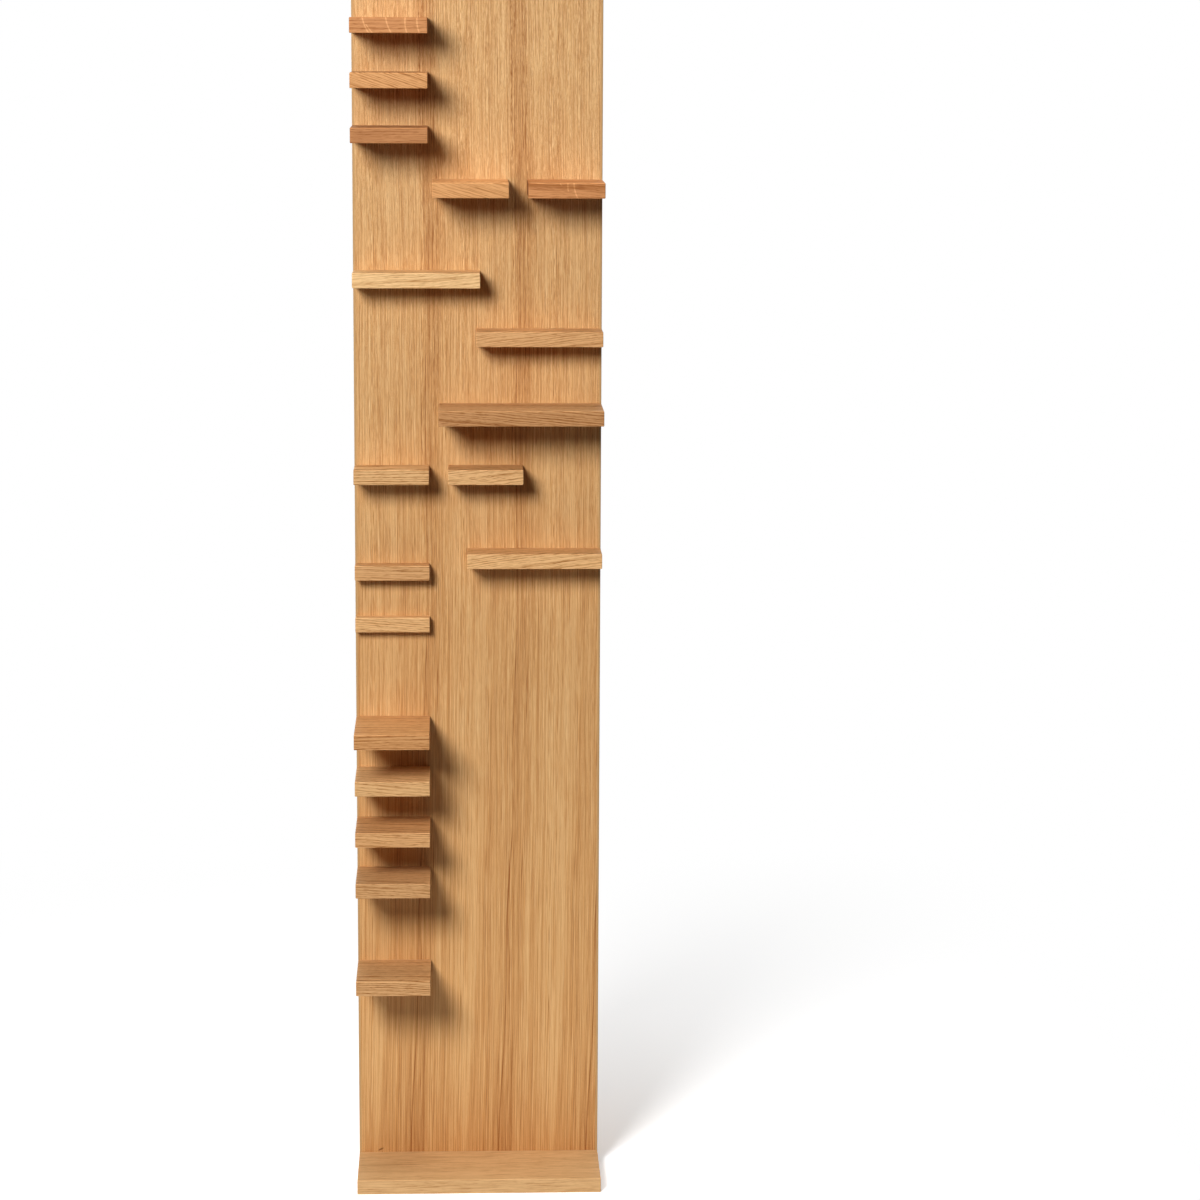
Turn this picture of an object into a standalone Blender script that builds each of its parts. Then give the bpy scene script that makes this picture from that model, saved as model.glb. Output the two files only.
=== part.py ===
"""A tall wall shelf in oak. A veneered back panel stands on the floor against a wall. Solid oak ledges of
several widths and depths are screwed to its front from behind, and a base board stands at its foot.
Units are metres. +Z is up, the ledges face -Y and the wall is on the +Y side."""

from collections import namedtuple
from math import asin, cos, pi, sin

import bmesh
import bpy

# Driving dimensions of the back panel.
PANEL_WIDTH = 0.330
PANEL_THICKNESS = 0.020
PANEL_HEIGHT = 1.827

# Every ledge and the base board are cut from the same planed stock, with eased edges.
BOARD_THICKNESS = 0.020
ARRIS = 0.001
ARRIS_STEPS = 2

# Depths from the panel's front face to a board's front edge.
BASE_DEPTH = 0.115
LOWEST_DEPTH = 0.107
USUAL_DEPTH = 0.095
STEP_DEPTH = 0.125
SLIM_DEPTH = 0.053
LIP_DEPTH = 0.025
RAIL_DEPTH = 0.017

# Spaces between ledges that stand side by side. Three short ledges and both spaces fill the panel's width.
NARROW_SPACE = 0.005
WIDE_SPACE = 0.025
SHORT_WIDTH = (PANEL_WIDTH - NARROW_SPACE - WIDE_SPACE) / 3

# The two half ledges lap past each other at the middle of the panel.
CENTRE_LAP = 0.006
HALF_WIDTH = (PANEL_WIDTH + CENTRE_LAP) / 2
MEDIUM_WIDTH = 0.180
LONG_WIDTH = 0.217

# Clear heights between the ledges, from the lowest up.
ABOVE_LOWEST = 0.112
CLOSE_ROOM = 0.050
ABOVE_STEP = 0.118
ABOVE_RAIL = 0.052
ABOVE_MEDIUM = 0.093
ABOVE_SLIM = 0.063
ABOVE_LONG = 0.080
BETWEEN_HALVES = 0.057
ABOVE_HALVES = 0.100

# Countersunk wood screws, driven through the panel from behind into the back edge of each board.
SCREW_DIAMETER = 0.0045
SCREW_HEAD_DIAMETER = 0.0086
SCREW_HEAD_SINK = 0.0005
SCREW_BITE = 0.030
SCREW_POINT_LENGTH = 0.004
SCREW_POINT_DIAMETER = 0.001
SCREW_INSET = 0.022
WOOD_BEFORE_POINT = 0.0045
SCREW_SIDES = 12

# Keyhole slots routed into the panel's back, for two screws in the wall.
KEYHOLE_INSET = 0.065
KEYHOLE_DROP = 0.060
KEYHOLE_ENTRY_DIAMETER = 0.013
KEYHOLE_HEAD_DIAMETER = 0.0122
KEYHOLE_NECK_WIDTH = 0.0064
KEYHOLE_RISE = 0.016
KEYHOLE_LIP = 0.004
KEYHOLE_DEPTH = 0.011
KEYHOLE_ARC_STEPS = 8

# Clearances.
JOINT_GAP = 0.0003
OVERCUT = 0.001

# The panel takes many cuts one after another, which this solver keeps closed.
PANEL_SOLVER = "MANIFOLD"

# Oak tones, one for each board as it came from the log, and the other colours (sRGB).
VENEER_OAK = "#D9AA70"
HONEY_OAK = "#CFA06A"
PALE_OAK = "#DDB581"
TAN_OAK = "#C99A68"
RUSSET_OAK = "#B98052"
BROWN_OAK = "#A97B4C"
ZINC = "#C9CBC8"

LEFT_EDGE = -PANEL_WIDTH / 2
RIGHT_EDGE = PANEL_WIDTH / 2
BESIDE_SHORT = LEFT_EDGE + SHORT_WIDTH

Ledge = namedtuple("Ledge", "left width depth tone")
Tier = namedtuple("Tier", "clear_below ledges")

# The ledges from the lowest up. A tier whose clear height is 0 starts level with the top of the tier below,
# and the lowest tier starts at the top of the free room above the base board.
TIERS = (
    Tier(0.0, [Ledge(LEFT_EDGE, SHORT_WIDTH, LOWEST_DEPTH, HONEY_OAK)]),
    Tier(ABOVE_LOWEST, [Ledge(LEFT_EDGE, SHORT_WIDTH, USUAL_DEPTH, HONEY_OAK)]),
    Tier(CLOSE_ROOM, [Ledge(LEFT_EDGE, SHORT_WIDTH, USUAL_DEPTH, TAN_OAK)]),
    Tier(CLOSE_ROOM, [Ledge(LEFT_EDGE, SHORT_WIDTH, USUAL_DEPTH, HONEY_OAK)]),
    Tier(CLOSE_ROOM, [Ledge(LEFT_EDGE, SHORT_WIDTH, STEP_DEPTH, RUSSET_OAK)]),
    Tier(ABOVE_STEP, [Ledge(LEFT_EDGE, SHORT_WIDTH, RAIL_DEPTH, PALE_OAK)]),
    Tier(ABOVE_RAIL, [Ledge(LEFT_EDGE, SHORT_WIDTH, LIP_DEPTH, TAN_OAK)]),
    Tier(0.0, [Ledge(RIGHT_EDGE - MEDIUM_WIDTH, MEDIUM_WIDTH, SLIM_DEPTH, HONEY_OAK)]),
    Tier(
        ABOVE_MEDIUM,
        [
            Ledge(LEFT_EDGE, SHORT_WIDTH, SLIM_DEPTH, TAN_OAK),
            Ledge(BESIDE_SHORT + WIDE_SPACE, SHORT_WIDTH, SLIM_DEPTH, PALE_OAK),
        ],
    ),
    Tier(ABOVE_SLIM, [Ledge(RIGHT_EDGE - LONG_WIDTH, LONG_WIDTH, USUAL_DEPTH, BROWN_OAK)]),
    Tier(ABOVE_LONG, [Ledge(RIGHT_EDGE - HALF_WIDTH, HALF_WIDTH, SLIM_DEPTH, TAN_OAK)]),
    Tier(BETWEEN_HALVES, [Ledge(LEFT_EDGE, HALF_WIDTH, SLIM_DEPTH, PALE_OAK)]),
    Tier(
        ABOVE_HALVES,
        [
            Ledge(BESIDE_SHORT + NARROW_SPACE, SHORT_WIDTH, USUAL_DEPTH, HONEY_OAK),
            Ledge(RIGHT_EDGE - SHORT_WIDTH, SHORT_WIDTH, USUAL_DEPTH, RUSSET_OAK),
        ],
    ),
    Tier(CLOSE_ROOM, [Ledge(LEFT_EDGE, SHORT_WIDTH, USUAL_DEPTH, RUSSET_OAK)]),
    Tier(CLOSE_ROOM, [Ledge(LEFT_EDGE, SHORT_WIDTH, USUAL_DEPTH, TAN_OAK)]),
    Tier(CLOSE_ROOM, [Ledge(LEFT_EDGE, SHORT_WIDTH, USUAL_DEPTH, RUSSET_OAK)]),
)

# The same room is left free above the base board and above the topmost ledge.
LEDGES_HEIGHT = sum(tier.clear_below + BOARD_THICKNESS for tier in TIERS)
END_ROOM = (PANEL_HEIGHT - BOARD_THICKNESS - LEDGES_HEIGHT) / 2

# The origin is on the floor, at the middle of the whole shelf, so the panel stands behind it.
DEEPEST = max([BASE_DEPTH] + [ledge.depth for tier in TIERS for ledge in tier.ledges])
PANEL_FRONT = (DEEPEST - PANEL_THICKNESS) / 2
PANEL_BACK = PANEL_FRONT + PANEL_THICKNESS


def clear_scene():
    for item in list(bpy.data.objects):
        bpy.data.objects.remove(item)


def linear(hex_colour):
    """The linear RGBA of an sRGB hex colour."""
    channels = [int(hex_colour[i : i + 2], 16) / 255 for i in (1, 3, 5)]
    return [c / 12.92 if c <= 0.04045 else ((c + 0.055) / 1.055) ** 2.4 for c in channels] + [1.0]


def finish(name, hex_colour, roughness, metallic=0.0):
    material = bpy.data.materials.new(name)
    material.use_nodes = True
    shader = material.node_tree.nodes["Principled BSDF"]
    shader.inputs["Base Color"].default_value = linear(hex_colour)
    shader.inputs["Roughness"].default_value = roughness
    shader.inputs["Metallic"].default_value = metallic
    return material


def add_object(name, bm, location=(0, 0, 0), parent=None):
    """Makes an object of a bmesh, with its faces turned outwards."""
    bmesh.ops.recalc_face_normals(bm, faces=bm.faces)
    mesh = bpy.data.meshes.new(name)
    bm.to_mesh(mesh)
    bm.free()
    item = bpy.data.objects.new(name, mesh)
    item.location = location
    item.parent = parent
    bpy.context.scene.collection.objects.link(item)
    return item


def eased_block(width, depth, height, square_back):
    """A board with its back face on y = 0, centred in x and standing on z = 0. Its edges are eased,
    apart from those of a square back, which meet another board without a groove."""
    bm = bmesh.new()
    bmesh.ops.create_cube(bm, size=1.0)
    bmesh.ops.translate(bm, vec=(0.0, -0.5, 0.5), verts=bm.verts)
    bmesh.ops.scale(bm, vec=(width, depth, height), verts=bm.verts)
    middle = -depth / 2
    eased = [e for e in bm.edges if not square_back or min(v.co.y for v in e.verts) < middle]
    bmesh.ops.bevel(bm, geom=eased, offset=ARRIS, segments=ARRIS_STEPS, profile=0.5, affect="EDGES")
    return bm


def add_turned(bm, profile, x, z):
    """Adds a turned body on an axis along Y, of a profile of (y, radius) from the back to the tip."""
    turns = [2 * pi * step / SCREW_SIDES for step in range(SCREW_SIDES)]
    rings = [[bm.verts.new((x + r * cos(a), y, z + r * sin(a))) for a in turns] for y, r in profile]
    bm.faces.new(rings[0])
    bm.faces.new(rings[-1])
    for ring, following in zip(rings, rings[1:]):
        for i in range(SCREW_SIDES):
            j = (i + 1) % SCREW_SIDES
            bm.faces.new((ring[i], ring[j], following[j], following[i]))


def add_extruded(bm, outline, y_back, y_front, x, z):
    """Adds the body between two depths whose outline is a list of (x, z) about the point given."""
    back = [bm.verts.new((x + px, y_back, z + pz)) for px, pz in outline]
    front = [bm.verts.new((x + px, y_front, z + pz)) for px, pz in outline]
    bm.faces.new(back)
    bm.faces.new(front)
    for i in range(len(outline)):
        j = (i + 1) % len(outline)
        bm.faces.new((back[i], back[j], front[j], front[i]))


def arc(height, radius, start, end):
    """Points on an arc about (0, height), both ends included."""
    angles = [start + (end - start) * step / KEYHOLE_ARC_STEPS for step in range(KEYHOLE_ARC_STEPS + 1)]
    return [(radius * cos(a), height + radius * sin(a)) for a in angles]


def cut(board, bm, name, solver="EXACT"):
    """Cuts the closed bodies of a bmesh out of a board."""
    cutter = add_object(name, bm)
    cutter.hide_render = True
    cutter.display_type = "WIRE"
    boolean = board.modifiers.new(name, "BOOLEAN")
    boolean.operation = "DIFFERENCE"
    boolean.solver = solver
    boolean.object = cutter


def bite_into(depth):
    """How far a screw reaches into a board of this depth, leaving wood before its point."""
    return min(SCREW_BITE, depth - JOINT_GAP - WOOD_BEFORE_POINT)


def screw_profile(bite):
    """The (y, radius) points of a countersunk screw, from the face of its head to its point."""
    head = SCREW_HEAD_DIAMETER / 2
    shank = SCREW_DIAMETER / 2
    face = PANEL_BACK - SCREW_HEAD_SINK
    point = PANEL_FRONT - JOINT_GAP - bite
    return [
        (face, head),
        (face - (head - shank), shank),
        (point + SCREW_POINT_LENGTH, shank),
        (point, SCREW_POINT_DIAMETER / 2),
    ]


def clearance_profile():
    """The hole that a screw passes through in the panel: straight at its head, countersunk, then straight."""
    (face, head), (neck, shank) = screw_profile(0.0)[:2]
    return [
        (PANEL_BACK + OVERCUT, head + JOINT_GAP),
        (face, head + JOINT_GAP),
        (neck, shank + JOINT_GAP),
        (PANEL_FRONT - OVERCUT, shank + JOINT_GAP),
    ]


def pilot_profile(bite):
    """The blind hole in a board's back edge that a screw bites into."""
    radius = SCREW_DIAMETER / 2 + JOINT_GAP
    seat = PANEL_FRONT - JOINT_GAP
    return [(seat + OVERCUT, radius), (seat - bite - JOINT_GAP, radius)]


def build_board(name, left, width, depth, underside, tone, parent):
    """A ledge or the base board, seated against the panel's front."""
    bm = eased_block(width, depth - JOINT_GAP, BOARD_THICKNESS, square_back=True)
    board = add_object(name, bm, (left + width / 2, PANEL_FRONT - JOINT_GAP, underside), parent)
    board.data.materials.append(finish(name + "_solid_oak", tone, roughness=0.55))
    return board


def fix_board(board, screw_places, height, depth, parent):
    """Drills a board for its screws and drives them. screw_places names each screw and gives its x."""
    bite = bite_into(depth)
    holes = bmesh.new()
    for place, x in screw_places.items():
        add_turned(holes, pilot_profile(bite), x, height)
        bm = bmesh.new()
        add_turned(bm, screw_profile(bite), 0.0, 0.0)
        screw = add_object(board.name + "_screw_" + place, bm, (x, 0, height), parent)
        screw.data.materials.append(finish(screw.name + "_zinc_steel", ZINC, roughness=0.35, metallic=1.0))
        screw.data.shade_smooth()
        screw.data.set_sharp_from_angle(angle=pi / 6)
    cut(board, holes, board.name + "_pilot_holes")


def build_panel(screw_points, parent):
    """The back panel, with a countersunk hole for every screw and two keyhole slots in its back."""
    bm = eased_block(PANEL_WIDTH, PANEL_THICKNESS, PANEL_HEIGHT, square_back=False)
    panel = add_object("back_panel", bm, (0, PANEL_BACK, 0), parent)
    panel.data.materials.append(finish("back_panel_oak_veneer", VENEER_OAK, roughness=0.5))
    cut_keyholes(panel)
    holes = bmesh.new()
    for x, z in screw_points:
        add_turned(holes, clearance_profile(), x, z)
    cut(panel, holes, "screw_holes", PANEL_SOLVER)


def cut_keyholes(panel):
    """Each slot is a wide channel for a screw's head, behind a lip with an entry hole and a narrow neck."""
    height = PANEL_HEIGHT - KEYHOLE_DROP
    entry = KEYHOLE_ENTRY_DIAMETER / 2
    neck = KEYHOLE_NECK_WIDTH / 2
    head = KEYHOLE_HEAD_DIAMETER / 2
    shoulder = asin(neck / entry)
    mouth = arc(0.0, entry, pi / 2 + shoulder, 5 * pi / 2 - shoulder) + arc(KEYHOLE_RISE, neck, 0.0, pi)
    channel = arc(0.0, head, pi, 2 * pi) + arc(KEYHOLE_RISE, head, 0.0, pi)
    mouths = bmesh.new()
    channels = bmesh.new()
    for x in (LEFT_EDGE + KEYHOLE_INSET, RIGHT_EDGE - KEYHOLE_INSET):
        add_extruded(mouths, mouth, PANEL_BACK + OVERCUT, PANEL_BACK - KEYHOLE_LIP - OVERCUT, x, height)
        add_extruded(channels, channel, PANEL_BACK - KEYHOLE_LIP, PANEL_BACK - KEYHOLE_DEPTH, x, height)
    cut(panel, channels, "keyhole_channels", PANEL_SOLVER)
    cut(panel, mouths, "keyhole_mouths", PANEL_SOLVER)


def main():
    clear_scene()
    shelf = bpy.data.objects.new("wall_shelf", None)
    bpy.context.scene.collection.objects.link(shelf)
    screw_points = []

    def mount_board(name, left, width, depth, underside, tone, extra_screws):
        right = left + width
        places = {"left": left + SCREW_INSET, "right": right - SCREW_INSET, **extra_screws}
        height = underside + BOARD_THICKNESS / 2
        board = build_board(name, left, width, depth, underside, tone, shelf)
        fix_board(board, places, height, depth, shelf)
        screw_points.extend((x, height) for x in places.values())

    mount_board("base_board", LEFT_EDGE, PANEL_WIDTH, BASE_DEPTH, 0.0, HONEY_OAK, {"middle": 0.0})
    top = BOARD_THICKNESS + END_ROOM
    number = 0
    for tier in TIERS:
        underside = top + tier.clear_below
        top = underside + BOARD_THICKNESS
        for ledge in tier.ledges:
            number += 1
            name = f"ledge_{number:02d}"
            mount_board(name, ledge.left, ledge.width, ledge.depth, underside, ledge.tone, {})
    build_panel(screw_points, shelf)


main()
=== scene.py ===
from collections import namedtuple
from math import cos, pi, radians, sin

import bmesh
import bpy
from bpy.props import FloatProperty, FloatVectorProperty, PointerProperty
from mathutils import Matrix, Vector


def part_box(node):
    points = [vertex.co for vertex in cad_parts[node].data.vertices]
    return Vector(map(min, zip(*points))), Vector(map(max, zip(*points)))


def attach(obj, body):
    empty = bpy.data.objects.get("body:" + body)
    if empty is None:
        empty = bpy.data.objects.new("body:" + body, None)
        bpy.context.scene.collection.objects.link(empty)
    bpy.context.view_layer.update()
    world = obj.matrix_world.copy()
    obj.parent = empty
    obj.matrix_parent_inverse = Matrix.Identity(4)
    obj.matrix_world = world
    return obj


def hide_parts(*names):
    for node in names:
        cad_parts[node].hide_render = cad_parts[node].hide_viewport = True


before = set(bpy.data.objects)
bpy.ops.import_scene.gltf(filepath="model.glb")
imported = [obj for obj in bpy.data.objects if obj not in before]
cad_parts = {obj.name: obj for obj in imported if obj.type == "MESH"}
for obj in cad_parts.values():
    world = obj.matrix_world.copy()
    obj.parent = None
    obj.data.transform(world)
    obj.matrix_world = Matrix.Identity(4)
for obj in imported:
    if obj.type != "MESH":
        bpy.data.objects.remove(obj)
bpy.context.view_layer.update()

bl_info = {
    "name": "Tall oak wall shelf",
    "version": (1, 0, 0),
    "blender": (4, 5, 0),
    "location": "View3D > Sidebar > Shelf",
    "description": "Finishes the wall shelf in oiled oak, details its screws and sets up the studio",
    "category": "Object",
}

MM = 0.001
WHITE = (1, 1, 1, 1)
SCREWS = sorted(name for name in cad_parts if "_screw_" in name)

# How each board is cut from its log, and how it looks. The tone is a colour of SolidOakProperties, and the
# shade multiplies it. The place is the board's middle in mm from the pith: along the log, to the back and up.
# The lean is the grain's slope along the board, to the back and up. Rings is how strongly the growth rings
# show, and face how much brighter or darker the wide faces are painted than the edges, as painted light and
# shade. A fleck is a ray seen on the front: mm from the board's left end at its top and at its foot, then mm
# above the board's underside of the same two.
# A band is a darker stripe along the board: mm up from its middle, half width in mm, and how dark it is.
Cut = namedtuple("Cut", "tone shade place lean rings face flecks band", defaults=(1.0, (), (0, 1, 0)))
CUTS = {
    "base_board": Cut("honey", 0.97, (120, 95, 120), (0.01, 0.015), 0.15, 1.04),
    "ledge_01": Cut("tan", 0.99, (610, 70, 60), (0.05, -0.06), 1.05, 1.06),
    "ledge_02": Cut("tan", 0.97, (1130, 110, 300), (0.02, -0.08), 0.60),
    "ledge_03": Cut("tan", 1.12, (1670, 120, 310), (0.02, -0.05), 0.85, 0.90),
    "ledge_04": Cut("honey", 1.07, (2210, 100, 220), (0.05, -0.10), 0.55),
    "ledge_05": Cut("amber", 0.87, (2750, 330, 230), (0.005, 0.01), 0.85, 1.10),
    "ledge_06": Cut("honey", 1.13, (3290, 20, 90), (0.02, -0.07), 0.55),
    "ledge_07": Cut("tan", 1.03, (3830, 60, 100), (0.02, -0.04), 0.60),
    "ledge_08": Cut("honey", 1.17, (4370, 35, 85), (0.04, 0.13), 0.60, 0.90),
    "ledge_09": Cut("honey", 1.01, (4910, 15, 100), (0.0, 0.01), 0.90),
    "ledge_10": Cut("honey", 1.09, (5450, 30, 80), (0.02, 0.12), 0.65, 0.82),
    "ledge_11": Cut("brown", 1.03, (5990, 60, 90), (0.03, -0.09), 0.95, 1.20),
    "ledge_12": Cut("tan", 1.09, (6530, 30, 95), (0.03, 0.12), 0.50),
    "ledge_13": Cut("straw", 1.05, (7070, 40, 80), (0.02, 0.07), 0.50),
    "ledge_14": Cut("amber", 0.96, (7610, 20, 105), (0.02, -0.30), 0.40),
    "ledge_15": Cut(
        "russet",
        1.04,
        (8150, 10, 70),
        (0.0, -0.03),
        0.50,
        flecks=((59, 64, 20, 0), (51, 53, 20, 9), (41, 44, 20, 16)),
        band=(6, 5, 0.65),
    ),
    "ledge_16": Cut("russet", 0.85, (8690, 60, 90), (0.01, 0.01), 0.40),
    "ledge_17": Cut("amber", 0.93, (9230, 15, 95), (0.02, -0.34), 0.75),
    "ledge_18": Cut(
        "russet",
        1.00,
        (9770, 5, 110),
        (0.0, 0.01),
        0.50,
        flecks=((17, 25, 20, 0), (23, 30, 11, 0), (47, 54, 20, 0), (72, 74, 20, 0), (87, 90, 20, 0)),
    ),
}

# The bends of the log's stem and the marks in its wood: mm along the grain, and across it in both directions.
# A real pore is about 0.3 mm wide. It is drawn 0.9 mm wide, so that it shows in the render.
BEND = (130, 45, 45)
BEND_SWAY = 9.0
PORE = (11, 0.9, 0.9)
FIBRE = (42, 1.5, 1.5)
CLOUD = (110, 14, 14)

# One year's growth: how far the ring has grown, and how open and dark its wood is there, both from 0 to 1.
# Rings differ in width: how quickly that changes over the years, and how many years it shifts a ring by.
SEASONS = ((0.0, 0.55), (0.10, 1.0), (0.45, 0.25), (0.85, 0.0), (1.0, 0.55))
UNEVEN_RATE = 0.31
UNEVEN_YEARS = 3.0

# How dark plain wood is, how open it is where rings neither darken nor pale it, and how strong the marks are.
GROUND_DEPTH = 0.16
RING_MIDDLE = 0.4
FIBRE_DEPTH = 1.60
CLOUD_DEPTH = 0.45

# The level of noise that makes a full pore, and how strong pores are in late wood and where no rings show.
# From this strength of rings on, pores are full.
PORE_LEVEL = 0.17
LATE_PORES = 0.5
RINGLESS_PORES = 0.25
FULL_RINGS = 0.7

# How squarely a surface faces an axis of its board: where it starts to be a side and where it is one, and
# where it stops being a plain side and is an eased edge. A front faces at least this far forward.
SIDE = (0.6, 0.9)
EASED = (0.99, 0.93)
FRONT = -0.7

# A ray's line: its bow in mm over the height of a ledge, and how many mm off its middle it fades from and to.
RAY_BOW = 1.2
RAY_FADE = (0.3, 1.5)

# A wide face painted brighter, as painted light, is also less red: the powers of its brightness that green
# and blue follow.
PAINTED_LIGHT_GREEN = 1.5
PAINTED_LIGHT_BLUE = 2.0

# The veneer's leaves, in mm. Each leaf's figure sits lower than the one to its left. A leaf's dark line lies
# farthest from its left edge at one height, is nearer to it by its bow at the floor, and wanders.
LEAF_SLIP = 9.0
LINE_PLACE = 96.0
LINE_HEIGHT = 1000.0
LINE_BOW = 25.0
LINE_WANDER = 9.0
LINE_WANDER_LENGTH = 230.0

# The main streaks of a leaf: mm from its dark line, half width in mm, and how dark each is at the foot and at
# the top. Streaks are broken up along their length, in pieces of this width, depth and length in mm.
STREAKS = (
    (0.0, 1.5, 0.30, 0.14),
    (4.0, 9.0, 0.05, 0.06),
    (12.0, 20.0, 0.04, 0.14),
    (17.0, 1.6, 0.09, 0.09),
    (30.0, 10.0, -0.05, 0.00),
    (-12.0, 8.0, -0.04, -0.04),
    (-30.0, 1.6, 0.06, 0.06),
    (-46.0, 8.0, -0.06, -0.06),
    (-57.0, 6.0, 0.00, 0.05),
    (-57.0, 26.0, -0.07, 0.00),
    (4.0, 40.0, 0.03, 0.00),
    (-80.0, 9.0, -0.04, -0.04),
)
STREAK_PIECE = (2.0, 1, 60)
STREAK_BREAK = 2.2

# Bands all over the leaf, then fibres and threads: width and length in mm, and how strong each is at the foot
# and at the top. Real threads and pores are finer still. They are drawn about 1 mm wide, so that they show in
# the render. The leaf gets coarser from the first of these heights in mm to the second.
BAND_LAYERS = ((15, 1300, 0.18, 0.14), (3.4, 300, 0.40, 0.48))
FIBRE_LAYERS = ((1.9, 85, 0.60, 0.90), (1.2, 17, 2.00, 2.20))
COARSE = (500.0, 1400.0)

# Fibres lean by this share of the streaks' lean. Each starts at its own height, within this many mm, and the
# next one is this many mm beside it. They get shorter higher up: what heights are multiplied by at the foot
# to draw them, and how much more at one height in mm.
FIBRE_LEAN = 0.35
FIBRE_SPREAD = 400.0
FIBRE_APART = 1.25
FIBRE_CROWD = 0.4
FIBRE_CROWD_MORE = 0.7
FIBRE_CROWD_HEIGHT = 1600.0

# How dark plain veneer is at the foot and above it, and the heights in mm from one to the other.
FOOT_DEPTH = 0.56
LEAF_DEPTH = 0.47
FOOT = (20.0, 180.0)

# The veneer's pores: width, depth and length in mm, the levels of noise from none to full, and how strong
# they are at the foot and at the top.
LEAF_PORE = (1.2, 1, 7)
LEAF_PORE_LEVELS = (0.02, 0.17)
LEAF_PORES = (0.6, 1.0)

# A pin knot: mm from the panel's low left corner, half its length, depth and width, its slant, and how far
# out it ends and is full, from 0 at its middle to 1 at its rim.
KNOT_PLACE = (29.5, 0.0, 24.0)
KNOT_REACH = (5.5, 3.0, 1.7)
KNOT_SLANT = radians(26)
KNOT_FADE = (1.0, 0.4)

# Fibres of the solid strip on the panel's top, in mm along it and across, and their levels of noise. The raw
# core lies this many mm under the panel's faces.
STRIP_FIBRE = (45, 1.3, 1.3)
STRIP_FIBRE_LEVELS = (-0.12, 0.16)
CORE_DEPTH = 1.2

# Tints multiply the linear red, green and blue of the wood under them.
RING_TINT = (0.52, 0.37, 0.20, 1)
PORE_TINT = (0.62, 0.50, 0.36, 1)
# The pale tint on eased edges is a painted highlight.
EDGE_HIGHLIGHT_TINT = (1.14, 1.14, 1.13, 1)
END_TINT = (0.62, 0.56, 0.50, 1)
RAY_TINT = (1.33, 1.52, 1.70, 1)
LEAF_PORE_TINT = (0.62, 0.52, 0.42, 1)
LEAF_FOOT_TINT = (1.02, 0.92, 0.77, 1)
LEAF_TOP_TINT = (1.04, 1.06, 1.03, 1)
KNOT_TINT = (0.42, 0.33, 0.26, 1)
STRIP_PORE_TINT = (0.80, 0.76, 0.70, 1)
STRIP_FIBRE_TINT = (0.72, 0.64, 0.54, 1)

# Oiled oak has a weak, satin sheen. Its pores are open this many mm deep.
OILED_SPECULAR = 0.15
OILED_ROUGHNESS = 0.5
PORE_DEPTH = 0.2

# Zinc plating: spots of bloom per metre, each about 1.4 mm wide, how rough bare zinc is, and how much rougher
# the bloom is.
BLOOM_SPOTS = 700.0
ZINC_ROUGHNESS = 0.35
BLOOM_ROUGHNESS = 0.25


# Settings


def linear(hex_colour):
    """The linear RGB of an sRGB hex colour."""
    channels = [int(hex_colour[i : i + 2], 16) / 255 for i in (1, 3, 5)]
    return [c / 12.92 if c <= 0.04045 else ((c + 0.055) / 1.055) ** 2.4 for c in channels]


def colour_property(name, description, hex_colour):
    """A setting for a colour, whose default is an sRGB hex value."""
    return FloatVectorProperty(
        name=name, description=description, subtype="COLOR", size=3, min=0, max=1, default=linear(hex_colour)
    )


def length_property(name, description, length, least=0.0):
    """A setting for a length in metres."""
    return FloatProperty(name=name, description=description, default=length, min=least, unit="LENGTH")


def pair_property(name, description, lengths):
    """A setting for two lengths in metres."""
    return FloatVectorProperty(name=name, description=description, size=2, default=lengths, unit="LENGTH")


def place_property(name, description, place):
    """A setting for a place in metres."""
    return FloatVectorProperty(name=name, description=description, default=place, subtype="TRANSLATION")


def angle_property(name, description, angle):
    """A setting for an angle in radians."""
    return FloatProperty(name=name, description=description, default=angle, subtype="ANGLE")


def power_property(name, description, power):
    """A setting for a lamp's power in watts."""
    return FloatProperty(name=name, description=description, default=power, min=0, unit="POWER")


def share_property(name, description, share):
    """A setting for a share from 0 to 1."""
    return FloatProperty(name=name, description=description, default=share, min=0, max=1, subtype="FACTOR")


class VeneerProperties(bpy.types.PropertyGroup):
    """The back panel's oak veneer."""

    pale: colour_property("Pale", "Colour between the grain lines", "#F2D2A2")
    middle: colour_property("Middle", "Ground colour of the veneer", "#D3A169")
    dark: colour_property("Dark", "Colour of the darkest grain lines", "#874A20")
    lipping: colour_property("Lipping", "Colour of the solid strip along the panel's edges", "#C39A68")
    core: colour_property("Core", "Colour of the raw core inside the holes", "#B08D62")
    leaf_width: length_property("Leaf width", "Width of one leaf of veneer", 0.121, least=0.02)
    lipping_width: length_property("Lipping width", "Thickness of the strip on the edges", 0.003)


class SolidOakProperties(bpy.types.PropertyGroup):
    """The solid oak of the ledges and the base board."""

    straw: colour_property("Straw", "The palest board", "#E9C08A")
    honey: colour_property("Honey", "Pale boards", "#DBAE79")
    tan: colour_property("Tan", "Plain boards", "#D3A26E")
    amber: colour_property("Amber", "Orange boards", "#DCA269")
    russet: colour_property("Russet", "Red boards", "#C78A57")
    brown: colour_property("Brown", "The darkest board", "#BC8A5A")
    ring_width: length_property("Ring width", "Width of one year's growth", 0.0032, least=0.001)


class ScrewProperties(bpy.types.PropertyGroup):
    """The countersunk screws in the panel's back."""

    zinc: colour_property("Zinc", "Colour of the plating", "#DBDDDB")
    bloom: colour_property("Bloom", "Colour of the cloudy bloom on the plating", "#BABEBD")
    recess_width: length_property("Recess width", "Length of the cross recess's arms", 0.0046)
    thread_width: length_property("Thread width", "Width over the crest of the thread", 0.0045)
    thread_pitch: length_property("Thread pitch", "Distance between two turns of thread", 0.0022, least=0.001)
    turn: angle_property("Turn", "How far each screw is driven past the one before", 2.4)


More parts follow.
